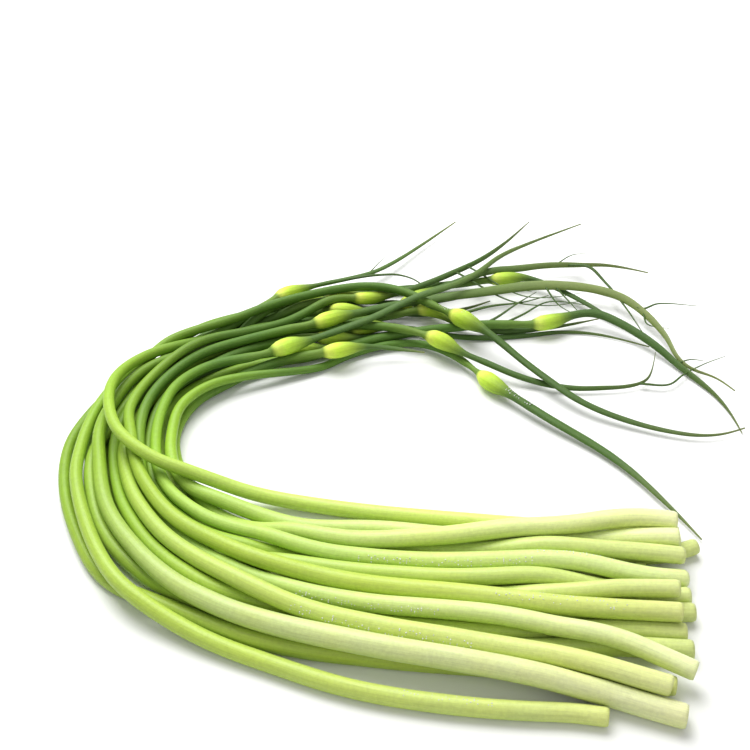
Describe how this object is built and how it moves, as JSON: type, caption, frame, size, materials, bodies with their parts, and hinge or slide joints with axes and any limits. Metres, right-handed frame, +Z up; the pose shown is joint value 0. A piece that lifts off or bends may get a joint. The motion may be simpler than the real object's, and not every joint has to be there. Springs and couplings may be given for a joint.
{
  "type": "bunch of garlic scapes",
  "caption": "Loose bunch of fresh garlic scapes lying flat and bent round in one open loop, cut feet together at the front, buds and long thin beaks spread at the rear.",
  "frame": {"origin": "centre of the bounding box, at its bottom face, where the bunch rests", "axes": "+Z up; the cut feet point along +X at the -Y side, the loop's bend is at -X, and the buds and beaks lie at the +Y side"},
  "size_m": [0.309, 0.323, 0.025],
  "materials": {
    "scape": "satin, fresh green skin, paler at the cut foot and the bud, darker in the beak"
  },
  "bodies": {
    "root": {"scape_01": "scape", "scape_02": "scape", "scape_03": "scape", "scape_04": "scape", "scape_05": "scape", "scape_06": "scape", "scape_07": "scape", "scape_08": "scape", "scape_09": "scape", "scape_10": "scape", "scape_11": "scape", "scape_12": "scape", "scape_13": "scape", "scape_14": "scape", "scape_15": "scape", "scape_16": "scape", "scape_17": "scape", "scape_18": "scape"}
  },
  "joints": []
}
